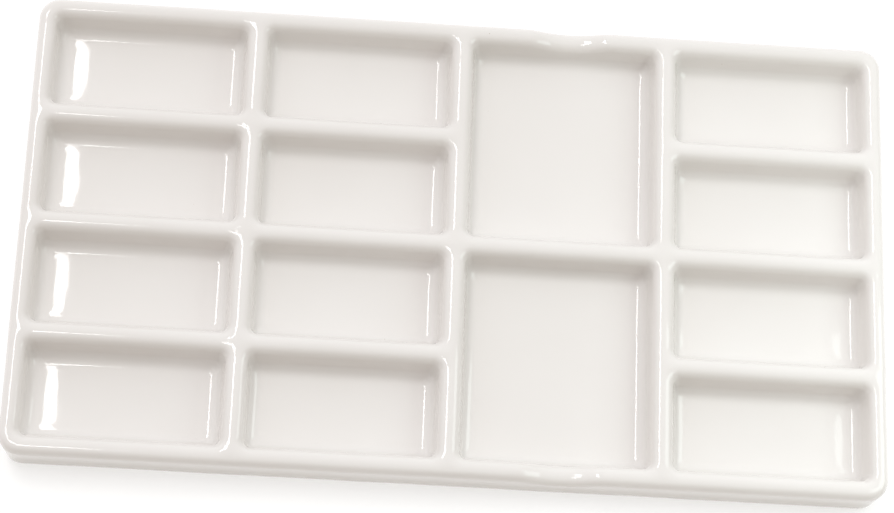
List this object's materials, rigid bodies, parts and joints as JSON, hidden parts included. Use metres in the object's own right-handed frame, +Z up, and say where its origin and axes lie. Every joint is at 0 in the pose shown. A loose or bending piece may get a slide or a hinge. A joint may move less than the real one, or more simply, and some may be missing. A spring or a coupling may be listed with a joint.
{
  "type": "mixing palette",
  "caption": "Rectangular glazed porcelain mixing palette with sunken colour wells in rows, larger mixing wells, and shallow brush rests in the rim.",
  "frame": {"origin": "on the table, under the middle of the palette", "axes": "+X along the length towards the column of wells beside the long mixing wells, +Y from front to back, +Z up out of the wells"},
  "size_m": [0.3196, 0.1776, 0.0185],
  "materials": {
    "bare_porcelain": "matte",
    "white_glaze": "gloss",
    "underside_glaze": "gloss"
  },
  "bodies": {
    "root": {"porcelain_body": "bare_porcelain", "outer_glaze": "white_glaze", "underside_glaze_left": "underside_glaze", "underside_glaze_middle": "underside_glaze", "underside_glaze_right": "underside_glaze"}
  },
  "joints": []
}
